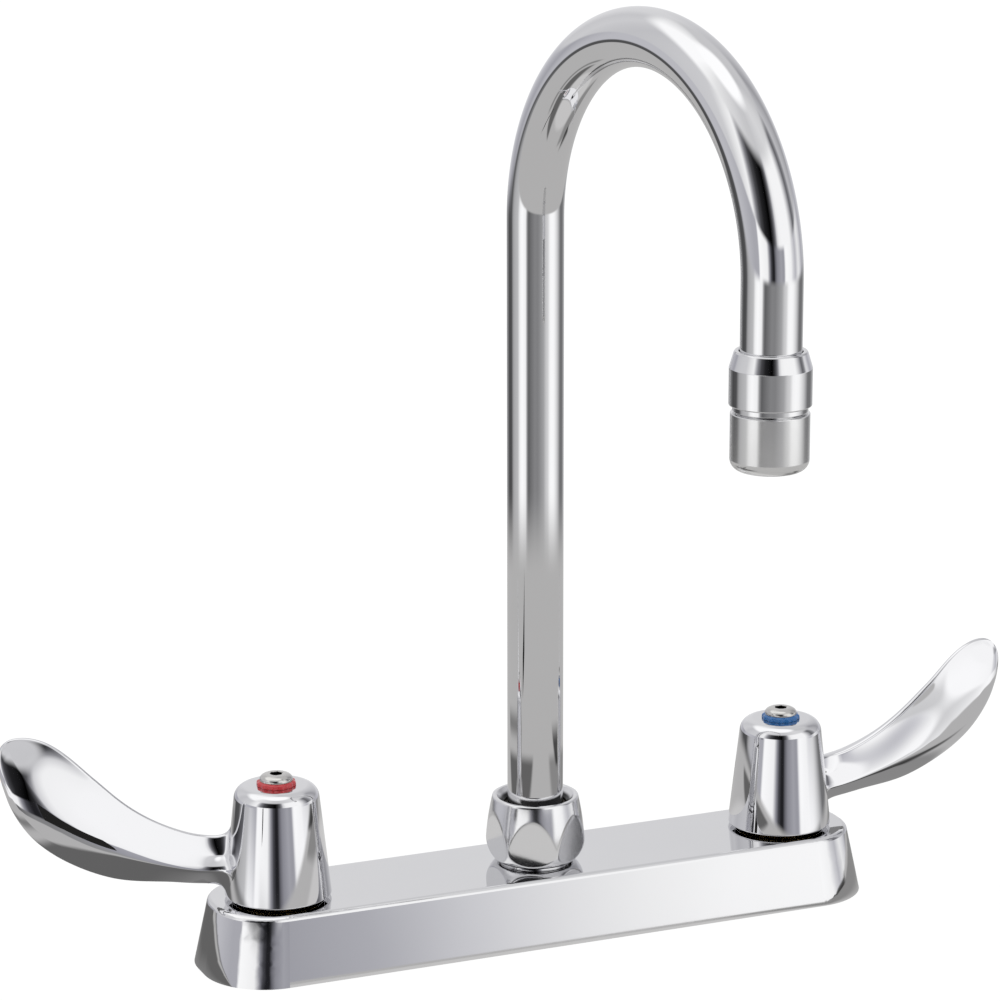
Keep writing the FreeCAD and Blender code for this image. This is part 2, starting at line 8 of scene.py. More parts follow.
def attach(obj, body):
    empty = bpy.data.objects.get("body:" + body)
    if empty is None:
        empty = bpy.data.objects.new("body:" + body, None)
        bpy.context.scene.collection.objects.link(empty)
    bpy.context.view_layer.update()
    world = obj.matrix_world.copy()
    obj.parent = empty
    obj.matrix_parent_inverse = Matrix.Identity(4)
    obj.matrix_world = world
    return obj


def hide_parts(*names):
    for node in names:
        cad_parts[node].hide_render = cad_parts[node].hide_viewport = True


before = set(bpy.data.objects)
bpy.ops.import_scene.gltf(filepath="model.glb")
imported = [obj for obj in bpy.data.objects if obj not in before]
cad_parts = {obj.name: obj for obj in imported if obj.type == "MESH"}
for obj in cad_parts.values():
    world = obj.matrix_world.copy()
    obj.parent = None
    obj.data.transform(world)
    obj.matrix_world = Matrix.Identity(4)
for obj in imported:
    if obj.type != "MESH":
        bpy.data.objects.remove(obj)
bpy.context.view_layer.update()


# Body casting: a long low brass bar with full round ends, drafted sides and a
# flat top, polished and chromed. Its solid already has the right form, so it
# stays, and its finish carries the slow waves and the slight crown of polishing.
class Wire:
    """One value inside a finish or a growth rule; sums with it add their own nodes."""

    def __init__(self, tree, socket=None):
        self.tree = tree
        self.socket = socket

    def node(self, kind, settings, values, output=0):
        made = self.tree.nodes.new(kind)
        for name, setting in settings.items():
            if name == "stops":
                ramp = made.color_ramp.elements
                while len(ramp) > 1:
                    ramp.remove(ramp[0])
                ramp[0].position, ramp[0].color = setting[0]
                for place, colour in setting[1:]:
                    ramp.new(place).color = colour
            else:
                setattr(made, name, setting)
        for name, value in values.items():
            if isinstance(value, Wire):
                self.tree.links.new(value.socket, made.inputs[name])
            else:
                made.inputs[name].default_value = value
        return Wire(self.tree, made.outputs[output])

    def maths(self, operation, first, second=0.0):
        return self.node("ShaderNodeMath", {"operation": operation}, {0: first, 1: second})

    def object_place(self):
        return self.node("ShaderNodeTexCoord", {}, {}, "Object")

    def axis(self, name):
        return self.node("ShaderNodeSeparateXYZ", {}, {"Vector": self}, name)

    def __add__(self, other):
        return self.maths("ADD", self, other)

    def __radd__(self, other):
        return self.maths("ADD", other, self)

    def __sub__(self, other):
        return self.maths("SUBTRACT", self, other)

    def __rsub__(self, other):
        return self.maths("SUBTRACT", other, self)

    def __mul__(self, other):
        return self.maths("MULTIPLY", self, other)

    def __rmul__(self, other):
        return self.maths("MULTIPLY", other, self)

    def __truediv__(self, other):
        return self.maths("DIVIDE", self, other)


def new_finish(name, **steady):
    """A material with one shader, its unchanging values set on the shader itself."""
    material = bpy.data.materials.new(name)
    material.use_nodes = True
    tree = material.node_tree
    tree.nodes.clear()
    end = tree.nodes.new("ShaderNodeOutputMaterial")
    shader = tree.nodes.new("ShaderNodeBsdfPrincipled")
    tree.links.new(shader.outputs[0], end.inputs["Surface"])
    for socket, value in steady.items():
        shader.inputs[socket.replace("_", " ").title()].default_value = value
    return material, Wire(tree), shader


def feed(wire, shader, colour, rough, height, strength, depth):
    """Lets the varying values of a finish feed its shader."""
    bump = wire.node("ShaderNodeBump", {}, {"Strength": strength, "Distance": depth, "Height": height})
    wire.tree.links.new(colour.socket, shader.inputs["Base Color"])
    wire.tree.links.new(rough.socket, shader.inputs["Roughness"])
    wire.tree.links.new(bump.socket, shader.inputs["Normal"])


def noise(wire, place, scale, detail, rough=0.5):
    values = {"Vector": place, "Scale": scale, "Detail": detail, "Roughness": rough}
    return wire.node("ShaderNodeTexNoise", {}, values, "Fac")


def blend_colours(wire, share, first, second):
    return wire.node("ShaderNodeMix", {"data_type": "RGBA"}, {0: share, 6: first, 7: second}, 2)


def chrome(name, light, dark, smooth, hazy, wave_scale, wave_height, crown=0.0, painted_shade=None):
    """Mirror plating over polished metal; painted shade may darken some places of it to near black."""
    material, wire, shader = new_finish(name, metallic=1.0)
    place = wire.object_place()
    mottle = noise(wire, place, 22.0, 3.0)
    haze = noise(wire, place, 260.0, 4.0, 0.6)
    wave = noise(wire, place, wave_scale, 1.0, 0.3)
    colour = blend_colours(wire, mottle, dark, light)
    # Painted shade: where the given mask is 1, the colour is blended to near black.
    if painted_shade:
        colour = blend_colours(wire, painted_shade(wire, place), colour, (0.03, 0.03, 0.03, 1.0))
    rough = smooth + (hazy - smooth) * (haze * mottle)
    height = wave * wave_height + haze * (wave_height * 0.006)
    if crown:
        level = place.axis("Z")
        height = height - level * level * crown
    feed(wire, shader, colour, rough, height, 1.0, 1.0)
    return material


def dress(node, material):
    """Gives a node of the frame its finish."""
    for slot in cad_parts[node].material_slots:
        slot.material = material


body_chrome = chrome(
    "body_chrome", (0.80, 0.80, 0.81, 1.0), (0.76, 0.76, 0.77, 1.0),
    smooth=0.015, hazy=0.06, wave_scale=18.0, wave_height=0.00002, crown=0.6,
)
dress("body_casting", body_chrome)


# Deck gasket: a moulded rubber plate pressed into the hollow underside of the
# body, which keeps water out from under it.
def soft_rubber(name, light, dark, grain):
    material, wire, shader = new_finish(name, metallic=0.0)
    place = wire.object_place()
    cloud = noise(wire, place, grain / 8, 3.0)
    fine = noise(wire, place, grain, 4.0)
    colour = blend_colours(wire, cloud, dark, light)
    feed(wire, shader, colour, 0.62 + fine * 0.2, fine, 0.5, 0.0001)
    return material


gasket_rubber = soft_rubber(
    "gasket_rubber", (0.055, 0.055, 0.06, 1.0), (0.03, 0.03, 0.033, 1.0), grain=900.0
)
dress("deck_gasket", gasket_rubber)


# Inlet shanks: brass tubes with a half-inch pipe thread, screwed into the body.
# The core is turned, and its thread is a ridge that follows a helix.
def round_corners(corners, steps=5):
    """Closed outline from (radius, height, rounding) corners, each rounding an arc."""
    outline = []
    for k, (across, height, rounding) in enumerate(corners):
        here = Vector((across, height))
        if rounding <= 0:
            outline.append((across, height))
            continue
        back = (Vector(corners[k - 1][:2]) - here).normalized()
        ahead = (Vector(corners[(k + 1) % len(corners)][:2]) - here).normalized()
        half = back.angle(ahead) / 2
        middle = here + (back + ahead).normalized() * (rounding / math.sin(half))
        start = here + back * (rounding / math.tan(half)) - middle
        end = here + ahead * (rounding / math.tan(half)) - middle
        sweep = start.angle(end)
        for i in range(steps + 1):
            part = i / steps
            spoke = (start * math.sin((1 - part) * sweep) + end * math.sin(part * sweep)) / math.sin(sweep)
            outline.append(tuple(middle + spoke))
    return outline


def spin(shape, outline, centre, around=96, rule=None):
    """Adds a turned skin to a bmesh from its closed (radius, height) outline in millimetres."""
    rings = []
    for radius, height in outline:
        if radius < 0.001:
            rings.append([shape.verts.new((centre[0], centre[1], height))])
            continue
        ring = []
        for k in range(around):
            angle = 2 * math.pi * k / around
            reach = rule(radius, height, angle) if rule else radius
            ring.append(shape.verts.new((
                centre[0] + reach * math.cos(angle), centre[1] + reach * math.sin(angle), height
            )))
        rings.append(ring)
    for k, ring in enumerate(rings):
        other = rings[(k + 1) % len(rings)]
        for i in range(around):
            j = (i + 1) % around
            if len(ring) > 1 and len(other) > 1:
                shape.faces.new((ring[i], ring[j], other[j], other[i]))
            elif len(other) > 1:
                shape.faces.new((ring[0], other[j], other[i]))
            elif len(ring) > 1:
                shape.faces.new((ring[i], ring[j], other[0]))


def piece_from(shape, name, material, sharp=40.0, weighted=True):
    """Turns a bmesh in millimetres into a finished piece in metres."""
    bmesh.ops.recalc_face_normals(shape, faces=shape.faces)
    bmesh.ops.scale(shape, vec=(0.001, 0.001, 0.001), verts=shape.verts)
    mesh = bpy.data.meshes.new(name)
    shape.to_mesh(mesh)
    shape.free()
    return settle(name, mesh, material, sharp, weighted)


def settle(name, mesh, material, sharp, weighted):
    """Smooth shading with true corners, flat faces kept flat, and one material."""
    mesh.materials.clear()
    mesh.materials.append(material)
    mesh.shade_smooth()
    mesh.set_sharp_from_angle(angle=math.radians(sharp))
    piece = bpy.data.objects.new(name, mesh)
    bpy.context.scene.collection.objects.link(piece)
    if weighted:
        modifier = piece.modifiers.new("even_normals", "WEIGHTED_NORMAL")
        modifier.keep_sharp = True
        modifier.weight = 70
        bpy.context.view_layer.update()
        evaluated = piece.evaluated_get(bpy.context.evaluated_depsgraph_get())
        even = bpy.data.meshes.new_from_object(evaluated)
        piece.modifiers.remove(modifier)
        piece.data = even
    piece.data.name = name
    return piece


def growth(name, inputs):
    """An empty geometry tree with named inputs; returns it and a Wire for each input."""
    tree = bpy.data.node_groups.new(name, "GeometryNodeTree")
    for label, kind in inputs:
        tree.interface.new_socket(label, in_out="INPUT", socket_type=kind)
    tree.interface.new_socket("Geometry", in_out="OUTPUT", socket_type="NodeSocketGeometry")
    start = tree.nodes.new("NodeGroupInput")
    return tree, {label: Wire(tree, start.outputs[label]) for label, kind in inputs}


def close_growth(tree, shape, finish):
    """Ends a tree: copies made real, then the finish."""
    real = Wire(tree).node("GeometryNodeRealizeInstances", {}, {"Geometry": shape})
    dressed = real.node("GeometryNodeSetMaterial", {}, {"Geometry": real, "Material": finish})
    end = tree.nodes.new("NodeGroupOutput")
    tree.links.new(dressed.socket, end.inputs[0])


def grown(name, tree, values):
    """The plain mesh that a geometry tree makes from its inputs."""
    holder = bpy.data.objects.new(name, bpy.data.meshes.new(name))
    bpy.context.scene.collection.objects.link(holder)
    modifier = holder.modifiers.new(name, "NODES")
    modifier.node_group = tree
    for item in tree.interface.items_tree:
        if item.in_out == "INPUT" and item.name in values:
            modifier[item.identifier] = values[item.name]
    bpy.context.view_layer.update()
    evaluated = holder.evaluated_get(bpy.context.evaluated_depsgraph_get())
    mesh = bpy.data.meshes.new_from_object(evaluated)
    bpy.data.objects.remove(holder)
    return mesh


def turned_brass(name, light, dark, rough_low, rough_high, line_scale):
    """Machined metal with fine turning lines across its height."""
    material, wire, shader = new_finish(name, metallic=1.0)
    place = wire.object_place()
    stretched = wire.node("ShaderNodeMapping", {}, {"Vector": place, "Scale": (0.05, 0.05, 1.0)})
    lines = noise(wire, stretched, line_scale, 3.0)
    cloud = noise(wire, place, 60.0, 3.0)
    colour = blend_colours(wire, cloud, dark, light)
    rough = rough_low + (rough_high - rough_low) * lines
    feed(wire, shader, colour, rough, lines, 0.4, 0.00005)
    return material


shank_brass = turned_brass(
    "shank_brass", (0.66, 0.47, 0.20, 1.0), (0.52, 0.35, 0.14, 1.0),
    rough_low=0.22, rough_high=0.42, line_scale=2500.0,
)
thread_tree, thread = growth("pipe_thread", [
    ("Radius", "NodeSocketFloat"), ("Height", "NodeSocketFloat"), ("Turns", "NodeSocketFloat"),
    ("Ridge", "NodeSocketFloat"), ("Foot", "NodeSocketVector"), ("Finish", "NodeSocketMaterial"),
])
wire = Wire(thread_tree)
helix = wire.node("GeometryNodeCurveSpiral", {}, {
    "Resolution": 48, "Rotations": thread["Turns"], "Start Radius": thread["Radius"],
    "End Radius": thread["Radius"], "Height": thread["Height"],
})
tooth = wire.node("GeometryNodeCurvePrimitiveCircle", {}, {"Resolution": 3, "Radius": thread["Ridge"]})
ridge = wire.node("GeometryNodeCurveToMesh", {}, {
    "Curve": helix, "Profile Curve": tooth, "Fill Caps": True,
})
ridge = wire.node("GeometryNodeTransform", {}, {"Geometry": ridge, "Translation": thread["Foot"]})
close_growth(thread_tree, ridge, thread["Finish"])
valve_offset = 101.6
valve_sides = (("hot", -valve_offset), ("cold", valve_offset))
shank_core_radius = 9.75
shank_outer_radius = 10.45
shank_bore = 6.5
shank_low = -55.0
shank_high = 7.0
thread_pitch = 1.814
thread_ridge = 0.6
thread_runout = 1.5
thread_turns = (shank_high - shank_low - 2 * thread_runout) / thread_pitch
shank_outline = round_corners([
    (shank_bore, shank_low, 0.3), (shank_core_radius, shank_low, 0.6),
    (shank_core_radius, shank_high, 0.3), (shank_bore, shank_high, 0.3),
])
for side, x in valve_sides:
    shape = bmesh.new()
    spin(shape, shank_outline, (x, 0.0))
    ridge_mesh = grown("thread", thread_tree, {
        "Radius": (shank_outer_radius - thread_ridge) / 1000,
        "Height": thread_turns * thread_pitch / 1000,
        "Turns": thread_turns,
        "Ridge": thread_ridge / 1000,
        "Foot": (x / 1000, 0.0, (shank_low + thread_runout) / 1000),
        "Finish": shank_brass,
    })
    bmesh.ops.scale(shape, vec=(0.001, 0.001, 0.001), verts=shape.verts)
    shape.from_mesh(ridge_mesh)
    bmesh.ops.scale(shape, vec=(1000.0, 1000.0, 1000.0), verts=shape.verts)
    shank = piece_from(shape, side + "_threaded_shank", shank_brass, 30.0, False)
    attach(shank, "base")
    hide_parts(side + "_shank")


# Handles: each is one casting, a hollow cone that covers the valve and a long
# blade that grows out of it through a smooth fillet, polished and chromed. Each
# list of stations gives a value at shares of the blade's reach.
handle_chrome = chrome(
    "handle_chrome", (0.80, 0.80, 0.82, 1.0), (0.77, 0.77, 0.78, 1.0),
    smooth=0.01, hazy=0.045, wave_scale=26.0, wave_height=0.00003,
)
hood_bottom = 26.2
hood_top = 67.2
hood_base_radius = 19.5
hood_top_radius = 15.0
hood_slope = (hood_base_radius - hood_top_radius) / (hood_top - hood_bottom)
ring_recess_radius = 6.85
ring_recess_depth = 0.7
screw_hole_radius = 2.05
spline_radius = 4.25
spline_bottom = 46.2
spline_top = 58.1
boss_radius = 7.4
hollow_top = 59.2
hollow_top_radius = 13.1
hollow_base_radius = 16.7
blade_sweep = {"hot": 17.0, "cold": 6.7}
blade_lean_more = {"hot": 0.0, "cold": 14.0}
blade_width_share = {"hot": 1.0, "cold": 0.958}
blade_rise_share = {"hot": 1.0, "cold": 0.939}
blade_reach = 96.6
blade_root_height = 14.9
blade_rise = 46.1
blade_root_width = 13.0
blade_width = 27.4
blade_wall = 11.3
blade_root_thickness = 7.4
blade_dish = 0.4
blade_bow = 4.9
blade_round_start = 0.688
blade_tip_share = 0.9988
blade_tip_roll_start = 0.74
blade_tip_roll = {"hot": 6.5, "cold": 2.4}
tip_draw_share = 0.25
neck_share = 0.29
fillet_spread = 1.55
fillet_pull = 0.45
fillet_foot_margin = 0.4
fillet_foot_sink = 0.03
back_rim_softness = 0.9
front_low_softness = 2.4
back_low_softness = 1.8
most_corner_share = 0.42
edge_points = (20, 8, 12, 8)
corner_points = 8
rim_roll_at = {
    "hot": ((0.157, 1.2), (0.35, 1.6), (0.55, 2.6), (0.75, 4.0), (0.90, 4.5), (1.0, 4.5)),
    "cold": ((0.157, 1.2), (0.35, 1.3), (0.55, 1.4), (0.75, 1.6), (0.90, 2.0), (1.0, 2.5)),
}
blade_bulge_at = {
    "hot": ((0.157, 0.1), (0.35, 0.3), (0.55, 0.8), (0.75, 1.5), (0.90, 1.7), (1.0, 1.2)),
    "cold": ((0.157, 0.1), (0.35, 0.2), (0.55, 0.4), (0.75, 0.6), (0.90, 0.6), (1.0, 0.5)),
}
blade_bow_at = {
    "hot": ((0.157, 0.0), (0.35, 0.45), (0.60, 1.0), (0.80, 1.15), (1.0, 0.80)),
    "cold": ((0.157, 0.0), (0.35, 0.42), (0.60, 0.87), (0.80, 1.22), (0.92, 1.34), (1.0, 1.22)),
}
blade_rise_at = ((0.157, 0.0), (0.35, 0.067), (0.55, 0.233), (0.75, 0.493), (0.90, 0.811), (1.0, 1.0))
blade_widen_at = ((0.157, 0.0), (0.35, 0.0), (0.55, 0.251), (0.75, 0.75), (0.90, 1.0), (1.0, 1.0))
blade_wall_at = ((0.157, 0.47), (0.35, 0.62), (0.55, 1.0), (0.75, 0.82), (0.90, 0.49), (1.0, 0.22))
blade_thick_at = ((0.157, 1.0), (0.35, 0.80), (0.55, 0.52), (0.75, 0.38), (0.90, 0.32), (1.0, 0.28))
blade_lean_at = ((0.157, 54.0), (0.35, 62.0), (0.55, 65.0), (0.75, 70.0), (0.90, 67.0), (1.0, 61.0))


def ease(share, stations):
    """Smooth value at a share of the blade's reach."""
    last = len(stations) - 1
    rates = []
    for k in range(last + 1):
        before, after = stations[max(k - 1, 0)], stations[min(k + 1, last)]
        rates.append((after[1] - before[1]) / (after[0] - before[0]))
    k = max(i for i in range(last) if share >= stations[i][0] or i == 0)
    span = stations[k + 1][0] - stations[k][0]
    t = (share - stations[k][0]) / span
    return (
        stations[k][1] * (2 * t ** 3 - 3 * t ** 2 + 1) + stations[k + 1][1] * (3 * t ** 2 - 2 * t ** 3)
        + span * (rates[k] * (t ** 3 - 2 * t ** 2 + t) + rates[k + 1] * (t ** 3 - t ** 2))
    )


def blade_outline(share, side):
    """Closed outline across the blade: two rims and two lower corners, all soft."""
    step = 0.004
    rise = blade_rise * blade_rise_share[side]
    height = hood_bottom + blade_root_height + rise * ease(share, blade_rise_at)
    climb = rise * (ease(share + step, blade_rise_at) - ease(share - step, blade_rise_at))
    slope = math.atan2(climb, 2 * step * blade_reach)
    width = blade_root_width + (blade_width - blade_root_width) * ease(share, blade_widen_at)
    half = blade_width_share[side] * width / 2
    rounding = max(0.0, (share - blade_round_start) / (1 - blade_round_start))
    half = half * math.sqrt(1 - rounding ** 2)
    wall = blade_wall * ease(share, blade_wall_at)
    thick = blade_root_thickness * ease(share, blade_thick_at)
    lean = math.radians(ease(share, blade_lean_at) + blade_lean_more[side])
    centre = Vector((share * blade_reach, -blade_bow * ease(share, blade_bow_at[side]), height))
    bulge = min(ease(share, blade_bulge_at[side]), 0.10 * half)
    dish = min(blade_dish, 0.12 * half)
    roll = max(0.0, (share - blade_tip_roll_start) / (1 - blade_tip_roll_start))
    up = Vector((-math.sin(slope), 0.0, math.cos(slope)))
    front = Vector((0.0, -1.0, 0.0))
    across = front * math.cos(lean) - up * math.sin(lean)
    face_out = up * math.cos(lean) + front * math.sin(lean)
    drop = blade_tip_roll[side] * roll ** 2
    centre = centre - face_out * drop - Vector((tip_draw_share * drop, 0.0, 0.0))
    front_rim = centre + across * half
    back_rim = centre - across * half
    front_low = front_rim - up * (0.85 * wall) - face_out * (0.35 * wall + 0.3 * thick)
    back_low = back_rim - face_out * thick
    corners = (back_rim, front_rim, front_low, back_low)
    softness = (back_rim_softness, ease(share, rim_roll_at[side]), front_low_softness, back_low_softness)
    # How far the middle of each edge swells from its straight line.
    swells = (
        -face_out * dish,
        (face_out - up * 0.4) * (0.12 * wall),
        -face_out * (0.20 * wall + 0.15 * thick),
        -across * (0.12 * thick),
    )
    lengths = [(corners[(k + 1) % 4] - corners[k]).length for k in range(4)]

    def along(k, part):
        place = corners[k].lerp(corners[(k + 1) % 4], part) + swells[k] * (4 * part * (1 - part))
        return place + face_out * (bulge * 27 / 4 * part ** 2 * (1 - part)) if k == 0 else place

    def setback(corner, edge):
        return min(softness[corner] / max(lengths[edge], 0.01), most_corner_share)

    outline = []
    for k in range(4):
        ahead = (k + 1) % 4
        leave = setback(k, k)
        arrive = setback(ahead, k)
        for i in range(edge_points[k] + 1):
            outline.append(along(k, leave + (1 - leave - arrive) * i / edge_points[k]))
        start, corner = outline[-1], corners[ahead]
        end = along(ahead, setback(ahead, ahead))
        for i in range(1, corner_points):
            t = i / corner_points
            outline.append(start * (1 - t) ** 2 + corner * (2 * t * (1 - t)) + end * t ** 2)
    return outline


def blade_skin(shape, side, place):
    """Lofts the blade from a fillet on the hood to its tip."""
    neck = blade_outline(neck_share, side)
    beyond = blade_outline(neck_share + 0.01, side)
    neck_middle = sum(neck, Vector()) / len(neck)
    fillet_rows = 12
    rows = [[] for _ in range(fillet_rows)]
    for point, further in zip(neck, beyond):
        spread = Vector((0.0, point.y - neck_middle.y, point.z - neck_middle.z))
        foot_y = spread.y * fillet_spread
        foot_z = max(neck_middle.z + spread.z * fillet_spread, hood_bottom + fillet_foot_margin)
        cone = hood_base_radius - hood_slope * (foot_z - hood_bottom) - fillet_foot_sink
        foot_x = math.sqrt(cone ** 2 - foot_y ** 2)
        foot = Vector((foot_x, foot_y, foot_z))
        normal = Vector((foot_x, foot_y, cone * hood_slope)).normalized()
        inward = -spread.normalized()
        inward = (inward - normal * inward.dot(normal)).normalized()
        outward = (further - point).normalized()
        gap = (point - foot).length
        first = foot + inward * (gap * fillet_pull)
        second = point - outward * (gap * fillet_pull)
        for i in range(fillet_rows):
            t = i / fillet_rows
            curve = foot * (1 - t) ** 3 + first * (3 * t * (1 - t) ** 2)
            rows[i].append(curve + second * (3 * t ** 2 * (1 - t)) + point * t ** 3)
    blade_rows = 84
    for i in range(blade_rows):
        gone = math.sin(math.pi / 2 * i / (blade_rows - 1))
        rows.append(blade_outline(neck_share + (blade_tip_share - neck_share) * gone, side))
    rings = [[shape.verts.new(place @ point) for point in row] for row in rows]
    for ring, other in zip(rings, rings[1:]):
        for i in range(len(ring)):
            j = (i + 1) % len(ring)
            shape.faces.new((ring[i], ring[j], other[j], other[i]))
    shape.faces.new(rings[0])
    last = rings[-1]
    tip = shape.verts.new(sum((vert.co for vert in last), Vector()) / len(last))
    for i in range(len(last)):
        shape.faces.new((last[i], last[(i + 1) % len(last)], tip))


hood_outline = round_corners([
    (hood_base_radius, hood_bottom, 0.5), (hood_top_radius, hood_top, 5.0),
    (ring_recess_radius, hood_top, 0.25), (ring_recess_radius, hood_top - ring_recess_depth, 0.0),
    (screw_hole_radius, hood_top - ring_recess_depth, 0.0), (screw_hole_radius, spline_top, 0.0),
    (spline_radius, spline_top, 0.0), (spline_radius, spline_bottom, 0.2),
    (boss_radius, spline_bottom, 0.4), (boss_radius, hollow_top, 0.5),
    (hollow_top_radius, hollow_top, 0.8), (hollow_base_radius, hood_bottom, 0.3),
], 10)
for side, x in valve_sides:
    mirror = math.copysign(1.0, x)
    place = (
        Matrix.Translation((x, 0.0, 0.0))
        @ Matrix.Rotation(math.radians(mirror * blade_sweep[side]), 4, "Z")
        @ Matrix.Diagonal((mirror, 1.0, 1.0, 1.0))
    )
    shape = bmesh.new()
    spin(shape, hood_outline, (x, 0.0), 160)
    blade_skin(shape, side, place)
    handle = piece_from(shape, side + "_lever_handle", handle_chrome, sharp=50.0)
    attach(handle, side + "_stem")
    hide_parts(side + "_handle")


# Index rings: moulded plastic, red for hot and blue for cold, with a scalloped
# edge. Each lies in the recess on its hood, under the head of the screw.
def moulded_plastic(name, light, dark, rough_low, rough_high):
    material, wire, shader = new_finish(name, metallic=0.0, coat_weight=0.4, coat_roughness=0.12)
    place = wire.object_place()
    cloud = noise(wire, place, 180.0, 3.0)
    fine = noise(wire, place, 1600.0, 3.0)
    colour = blend_colours(wire, cloud, dark, light)
    rough = rough_low + (rough_high - rough_low) * fine
    feed(wire, shader, colour, rough, fine, 0.3, 0.00004)
    return material


ring_red = moulded_plastic(
    "ring_red", (0.60, 0.035, 0.04, 1.0), (0.42, 0.02, 0.03, 1.0), rough_low=0.28, rough_high=0.42
)
ring_blue = moulded_plastic(
    "ring_blue", (0.012, 0.14, 0.40, 1.0), (0.008, 0.09, 0.28, 1.0), rough_low=0.28, rough_high=0.42
)
ring_low = hood_top - ring_recess_depth
ring_rim_low = hood_top + 0.03
ring_top = hood_top + 1.8
ring_hole = 2.1
ring_seat_radius = 6.75
ring_rim_radius = 7.25
ring_lobes = 12
ring_lobe_depth = 0.4
ring_lobe_inside = 5.5
ring_outline = round_corners([
    (ring_hole, ring_low, 0.0), (ring_seat_radius, ring_low, 0.15), (ring_seat_radius, ring_rim_low, 0.0),
    (ring_rim_radius, ring_rim_low, 0.12), (7.1, ring_top - 0.5, 0.5), (6.1, ring_top, 0.5),
    (ring_hole, ring_top, 0.0),
], 4)


def scalloped(radius, height, angle):
    """Outer edge of a ring with shallow lobes above the recess."""
    if radius < ring_lobe_inside or height < hood_top:
        return radius
    return radius - ring_lobe_depth * (0.5 - 0.5 * math.cos(ring_lobes * angle))


for side, x in valve_sides:
    shape = bmesh.new()
    spin(shape, ring_outline, (x, 0.0), 144, scalloped)
    finish = ring_red if side == "hot" else ring_blue
    index_ring = piece_from(shape, side + "_marker_ring", finish, sharp=30.0)
    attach(index_ring, side + "_stem")
    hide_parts(side + "_index_ring")


# Handle screws: button-head steel screws with a hexagon recess. They pass
# through the ring and the hood into the splined spindle.
screw_end = 50.4
screw_shank_radius = 1.95
screw_seat = ring_top
screw_head_radius = 6.0
screw_head_height = 2.5
screw_top = screw_seat + screw_head_height
screw_rim_height = 0.45
screw_dome_reach = 3.3
screw_dome_sweep = math.radians(80.0)
screw_dome_steps = 11
screw_key_half = 2.2
screw_key_depth = 1.7


def painted_key_shade(wire, place):
    """1 below the screw head's face near either screw's axis, inside the recess, where shade is painted
    near black.
    """
    valve = wire.maths("ABSOLUTE", place.axis("X")) - valve_offset / 1000
    depth = place.axis("Y")
    near = wire.maths("LESS_THAN", valve * valve + depth * depth, (screw_key_half / 1000 + 0.0005) ** 2)
    return near * wire.maths("LESS_THAN", place.axis("Z"), (screw_top - 0.15) / 1000)


# Painted shade: the hexagon recess of each screw is painted near black.
screw_steel = chrome(
    "screw_steel", (0.70, 0.69, 0.67, 1.0), (0.60, 0.59, 0.57, 1.0),
    smooth=0.10, hazy=0.24, wave_scale=120.0, wave_height=0.00002, painted_shade=painted_key_shade,
)


def key_recess(radius, height, angle):
    """Hexagon wall inside the head, round everywhere else."""
    if radius > screw_key_half + 0.2 or height < screw_seat + 0.3:
        return radius
    turn = angle % (math.pi / 3) - math.pi / 6
    return radius / math.cos(turn) * 0.94


screw_outline = [
    (0.0, screw_end), (screw_shank_radius - 0.35, screw_end), (screw_shank_radius, screw_end + 0.5),
    (screw_shank_radius, screw_seat - 0.05), (2.4, screw_seat), (screw_head_radius - 0.1, screw_seat),
    (screw_head_radius, screw_seat + 0.1), (screw_head_radius, screw_seat + screw_rim_height),
]
for k in range(1, screw_dome_steps + 1):
    swing = screw_dome_sweep * k / screw_dome_steps
    rise = (screw_head_height - 0.5) * math.sin(swing) / math.sin(screw_dome_sweep)
    screw_outline.append((
        screw_head_radius - screw_dome_reach * (1 - math.cos(swing)), screw_seat + screw_rim_height + rise
    ))
screw_outline += [
    (screw_key_half + 0.3, screw_top), (screw_key_half + 0.1, screw_top - 0.1),
    (screw_key_half, screw_top - 0.3), (screw_key_half, screw_top - screw_key_depth),
    (0.0, screw_top - screw_key_depth - 0.2),
]
for side, x in valve_sides:
    shape = bmesh.new()
    spin(shape, screw_outline, (x, 0.0), 96, key_recess)
    screw = piece_from(shape, side + "_button_screw", screw_steel, sharp=42.0)
    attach(screw, side + "_stem")
    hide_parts(side + "_handle_screw")


# Gooseneck: one length of brass tube bent over a half circle and chromed. Its
# path is straight up, a half circle and straight down, and the tube follows it.
# Its sizes are in metres.
tube_chrome = chrome(
    "tube_chrome", (0.80, 0.80, 0.81, 1.0), (0.77, 0.77, 0.78, 1.0),
    smooth=0.01, hazy=0.045, wave_scale=14.0, wave_height=0.00002,
)
tube_tree, tube = growth("gooseneck", [
    ("Tube radius", "NodeSocketFloat"), ("Reach", "NodeSocketFloat"), ("Foot height", "NodeSocketFloat"),
    ("Spring height", "NodeSocketFloat"), ("Tip height", "NodeSocketFloat"), ("Turn", "NodeSocketFloat"),
    ("Finish", "NodeSocketMaterial"),
])
wire = Wire(tube_tree)
line = wire.node("GeometryNodeCurvePrimitiveLine", {}, {"End": (0.0, 0.0, 1.0)})
line = wire.node("GeometryNodeResampleCurve", {}, {"Curve": line, "Count": 260})
share = wire.node("GeometryNodeSplineParameter", {}, {}, "Factor")
straight = tube["Spring height"] - tube["Foot height"]
bend_radius = tube["Reach"] * 0.5
arc_length = bend_radius * math.pi
gone = share * (straight + arc_length + (tube["Spring height"] - tube["Tip height"]))
on_arc = wire.maths("MINIMUM", wire.maths("MAXIMUM", gone - straight, 0.0), arc_length)
swing = on_arc / bend_radius
out = bend_radius * (1 - wire.maths("COSINE", swing))
level = (
    tube["Foot height"] + wire.maths("MINIMUM", gone, straight) + bend_radius * wire.maths("SINE", swing)
    - wire.maths("MAXIMUM", gone - straight - arc_length, 0.0)
)
spot = wire.node("ShaderNodeCombineXYZ", {}, {
    "X": out * wire.maths("SINE", tube["Turn"]),
    "Y": 0 - out * wire.maths("COSINE", tube["Turn"]),
    "Z": level,
})
path = wire.node("GeometryNodeSetPosition", {}, {"Geometry": line, "Position": spot})
